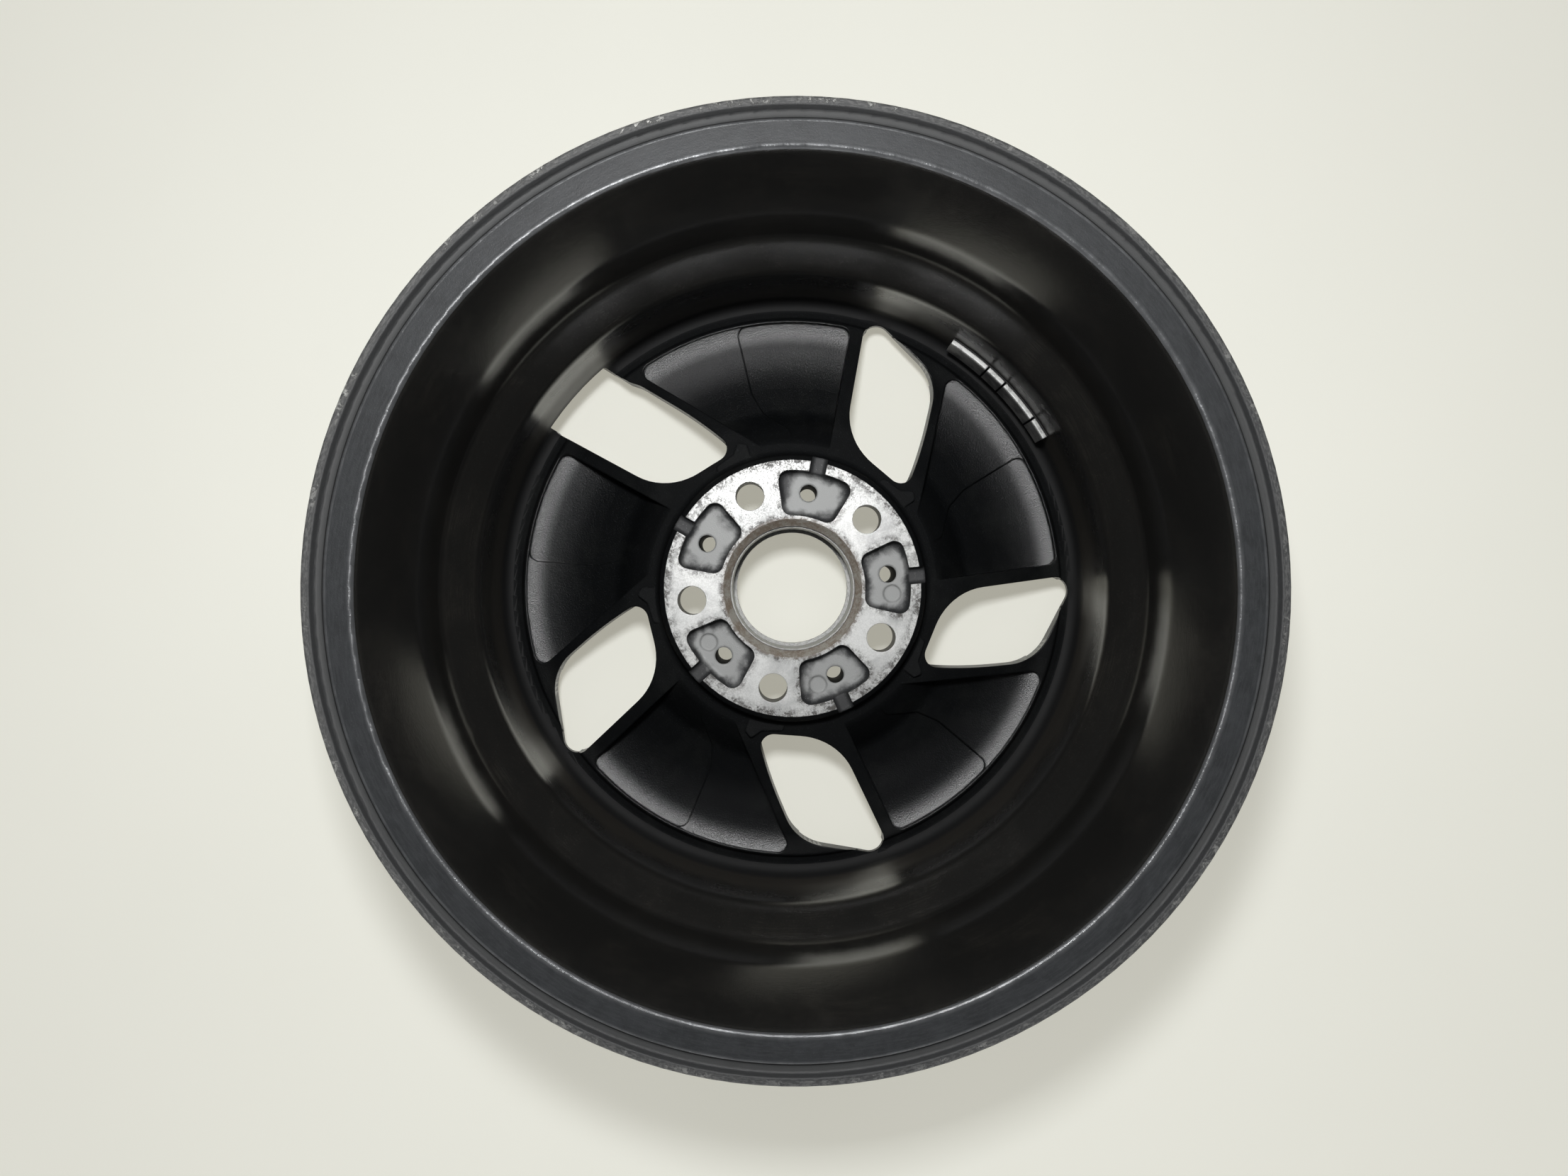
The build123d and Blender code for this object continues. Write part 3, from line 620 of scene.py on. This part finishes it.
class WheelSettings(bpy.types.PropertyGroup):
    paint: bpy.props.FloatVectorProperty(
        name="Paint",
        description="Colour of the satin paint on spokes and hub",
        subtype="COLOR",
        size=3,
        default=(0.0045, 0.0050, 0.0054),
    )
    barrel: bpy.props.FloatVectorProperty(
        name="Barrel",
        description="Colour of the glossy paint inside the barrel",
        subtype="COLOR",
        size=3,
        default=(0.0120, 0.0118, 0.0110),
    )
    metal: bpy.props.FloatVectorProperty(
        name="Bare metal",
        description="Colour of the machined mounting pad",
        subtype="COLOR",
        size=3,
        default=(0.60, 0.605, 0.59),
    )


class WHEEL_OT_casting(bpy.types.Operator):
    """Gives each region of the casting its finish"""

    bl_idname = "wheel.casting"
    bl_label = "Casting"

    def execute(self, context):
        settings = context.scene.wheel
        finishes = {
            "paint": back_paint(settings.paint),
            "outside": outside_paint(),
            "barrel": barrel_paint(settings.barrel),
            "flange_face": flange_paint(),
            "lip": scuffed_lip(),
            "pad": machined_pad(settings.metal),
            "pocket": blasted_pocket(),
            "chamfer": rusty_chamfer(),
            "bore": bored_wall("machined_bore", BORE_METAL),
            "bolt_hole": bored_wall("bolt_hole_wall", BOLT_HOLE_METAL),
        }
        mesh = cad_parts["wheel_casting"].data
        mesh.materials.clear()
        for material in finishes.values():
            mesh.materials.append(material)
        slots = {region: slot for slot, region in enumerate(finishes)}
        for face in mesh.polygons:
            face.material_index = slots[pick_region(face.center, face.normal)]
        return {"FINISHED"}


class WHEEL_OT_weights(bpy.types.Operator):
    """Gives the balance weights and their tape their finishes"""

    bl_idname = "wheel.weights"
    bl_label = "Balance weights"

    def execute(self, context):
        metal, foam = weight_metal(), foam_tape()
        for name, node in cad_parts.items():
            if name == "wheel_casting":
                continue
            node.data.materials.clear()
            node.data.materials.append(foam if name == "weight_tape" else metal)
        return {"FINISHED"}


def in_picture(right, up, height):
    """A point from its place in the picture, right and up of the wheel's axis, and its height."""
    return PICTURE_RIGHT * right + PICTURE_UP * up + Vector((0, 0, height))


class WHEEL_OT_stage(bpy.types.Operator):
    """Makes the pale floor, the lights and the camera"""

    bl_idname = "wheel.stage"
    bl_label = "Stage"

    def execute(self, context):
        self.floor(context)
        self.camera(context)
        self.lights(context)
        return {"FINISHED"}

    def floor(self, context):
        shape = bmesh.new()
        bmesh.ops.create_grid(shape, x_segments=1, y_segments=1, size=FLOOR_HALF)
        bmesh.ops.translate(shape, verts=shape.verts, vec=(0, 0, FLOOR_Z))
        mesh = bpy.data.meshes.new("floor")
        shape.to_mesh(mesh)
        shape.free()
        floor = bpy.data.objects.new("floor", mesh)
        context.scene.collection.objects.link(floor)
        material, nodes, surface = new_material(
            "floor_paint",
            Roughness=0.7,
            Specular_IOR_Level=0.3,
            Emission_Color=FLOOR_GLOW,
            Emission_Strength=FLOOR_GLOW_STRENGTH,
        )
        patches = nodes.group("blotches", Size=0.5, Share=0.5, Edge=0.3)
        nodes.put(nodes.mix(patches["Mask"], FLOOR_PALE, FLOOR_SHADED), surface["Base Color"])
        mesh.materials.append(material)

    def camera(self, context):
        data = bpy.data.cameras.new("camera")
        data.sensor_width = SENSOR_WIDTH
        data.lens = SENSOR_WIDTH * LENS_PIXELS / PHOTO_WIDTH
        data.shift_x = AXIS_PIXEL_LEFT / PHOTO_WIDTH
        data.shift_y = -AXIS_PIXEL_UP / PHOTO_WIDTH
        data.clip_start = CLIP_START
        camera = bpy.data.objects.new("camera", data)
        turn = Matrix((PICTURE_RIGHT, PICTURE_UP, (0, 0, 1))).transposed().to_4x4()
        place = in_picture(CAMERA_RIGHT, CAMERA_UP, CAMERA_HEIGHT)
        camera.matrix_world = Matrix.Translation(place) @ turn
        context.scene.collection.objects.link(camera)
        context.scene.camera = camera

    def lights(self, context):
        for name, width, length, power, right, up, height in LAMPS:
            data = bpy.data.lights.new(name, "AREA")
            data.shape = "RECTANGLE"
            data.size = width
            data.size_y = length
            data.energy = power
            lamp = bpy.data.objects.new(name, data)
            lamp.location = in_picture(right, up, height)
            lamp.rotation_euler = (-lamp.location).to_track_quat("-Z", "Y").to_euler()
            context.scene.collection.objects.link(lamp)
        world = bpy.data.worlds.new("studio")
        world.use_nodes = True
        background = world.node_tree.nodes["Background"].inputs
        background["Color"].default_value = STUDIO_AIR
        background["Strength"].default_value = STUDIO_STRENGTH
        context.scene.world = world
        context.scene.view_settings.view_transform = "Standard"


class WHEEL_PT_panel(bpy.types.Panel):
    bl_label = "Cast alloy wheel"
    bl_idname = "WHEEL_PT_panel"
    bl_space_type = "VIEW_3D"
    bl_region_type = "UI"
    bl_category = "Wheel"

    def draw(self, context):
        settings = context.scene.wheel
        for name in ("paint", "barrel", "metal"):
            self.layout.prop(settings, name)
        for step in STEPS:
            self.layout.operator(step.bl_idname)


STEPS = (WHEEL_OT_casting, WHEEL_OT_weights, WHEEL_OT_stage)
CLASSES = (WheelSettings, *STEPS, WHEEL_PT_panel)


def register():
    for item in CLASSES:
        bpy.utils.register_class(item)
    bpy.types.Scene.wheel = bpy.props.PointerProperty(type=WheelSettings)


def unregister():
    del bpy.types.Scene.wheel
    for item in reversed(CLASSES):
        bpy.utils.unregister_class(item)


def main():
    register()
    make_rim_ticks()
    make_pocket_edge()
    make_cast_grain()
    make_turning_marks()
    make_blotches()
    bpy.ops.wheel.casting()
    bpy.ops.wheel.weights()
    bpy.ops.wheel.stage()


if __name__ == "__main__":
    main()
